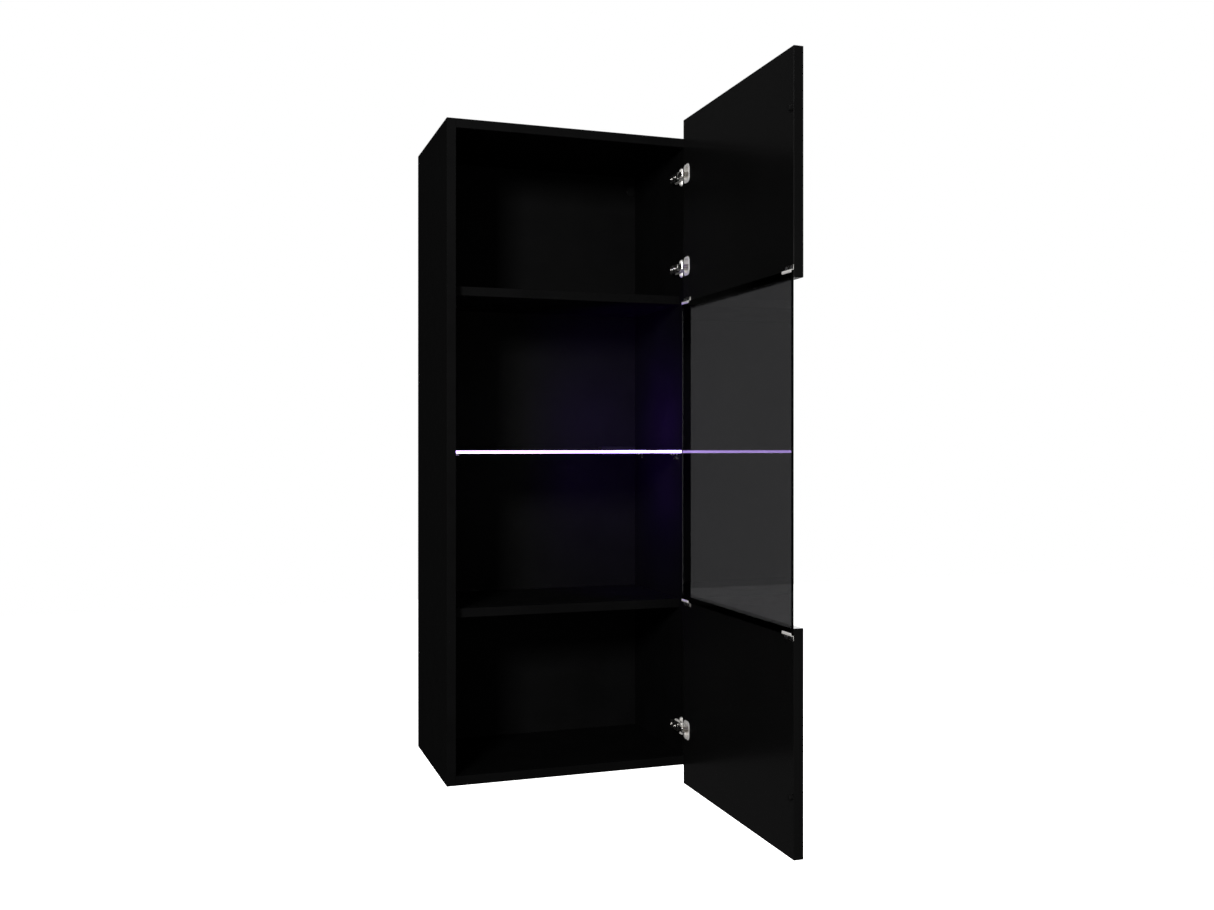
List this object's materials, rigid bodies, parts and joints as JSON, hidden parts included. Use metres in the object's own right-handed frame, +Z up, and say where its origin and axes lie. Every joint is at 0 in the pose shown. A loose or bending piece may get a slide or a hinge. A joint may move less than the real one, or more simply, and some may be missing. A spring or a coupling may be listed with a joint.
{
  "type": "display cabinet",
  "caption": "Wall-hung black display cabinet: fixed shelves, a lit glass shelf and a side-hinged door of solid panels around a smoked glass pane.",
  "frame": {"origin": "centre of the wall plates' screw pattern, on the wall's surface, 62 mm below the carcass's top", "axes": "+X to the right seen from the room, +Y into the wall, +Z up"},
  "size_m": [0.45, 0.755, 1.204],
  "materials": {
    "carcass_laminate": "matte black melamine",
    "back_hardboard": "matte black foil",
    "door_lacquer": "black satin to semi-gloss lacquer",
    "smoked_glass": "dark smoked float glass, polished edges",
    "shelf_glass": "clear float glass, front edge lit by the light clip",
    "zinc_fittings": "die-cast zinc",
    "black_plastic": "fine spark-eroded texture",
    "beech": "fluted beech",
    "nickel": "nickel-plated",
    "steel_pin": "drawn steel",
    "galvanised_steel": "zinc-plated sheet",
    "led_diffuser": "lit opal lens",
    "circuit_board": "solder resist",
    "black_rubber": "soft black rubber"
  },
  "bodies": {
    "cabinet": {"left_side": "carcass_laminate", "right_side": "carcass_laminate", "top_panel": "carcass_laminate", "bottom_panel": "carcass_laminate", "upper_shelf": "carcass_laminate", "lower_shelf": "carcass_laminate", "back_panel": "back_hardboard", "glass_shelf": "shelf_glass", "cam_locks": "zinc_fittings", "cam_bolts": "zinc_fittings", "cam_covers": "black_plastic", "wooden_dowels": "beech", "shelf_support_front_left": "nickel", "shelf_support_front_right": "nickel", "shelf_support_rear_left": "nickel", "shelf_support_rear_right": "nickel", "led_clip": "black_plastic", "led_lens": "led_diffuser", "led_board": "circuit_board", "cable_bush": "black_rubber", "wall_plate_left": "galvanised_steel", "hanger_body_left": "black_plastic", "hanger_hook_left": "galvanised_steel", "hanger_cap_left": "black_plastic", "wall_plate_right": "galvanised_steel", "hanger_body_right": "black_plastic", "hanger_hook_right": "galvanised_steel", "hanger_cap_right": "black_plastic", "hanger_screws": "galvanised_steel", "hinge_arm_lower": "nickel", "hinge_plate_lower": "nickel", "hinge_arm_middle": "nickel", "hinge_plate_middle": "nickel", "hinge_arm_upper": "nickel", "hinge_plate_upper": "nickel", "hinge_plate_screws": "nickel", "hinge_arm_screws": "nickel"},
    "door": {"door_upper_panel": "door_lacquer", "door_lower_panel": "door_lacquer", "door_glass": "smoked_glass", "glass_clip_lower_hinge": "nickel", "glass_clip_lower_free": "nickel", "glass_clip_upper_hinge": "nickel", "glass_clip_upper_free": "nickel", "glass_clip_screws": "nickel", "door_bumper_top": "black_rubber", "door_bumper_bottom": "black_rubber", "hinge_cup_lower": "nickel", "hinge_pin_lower": "steel_pin", "hinge_cup_middle": "nickel", "hinge_pin_middle": "steel_pin", "hinge_cup_upper": "nickel", "hinge_pin_upper": "steel_pin"}
  },
  "joints": [
    {"name": "door_swing", "type": "hinge", "parent": "cabinet", "child": "door", "pos_m": [0.21375, -0.31675, -0.508], "axis": [0, 0, 1], "range_deg": [-90, 10]}
  ]
}
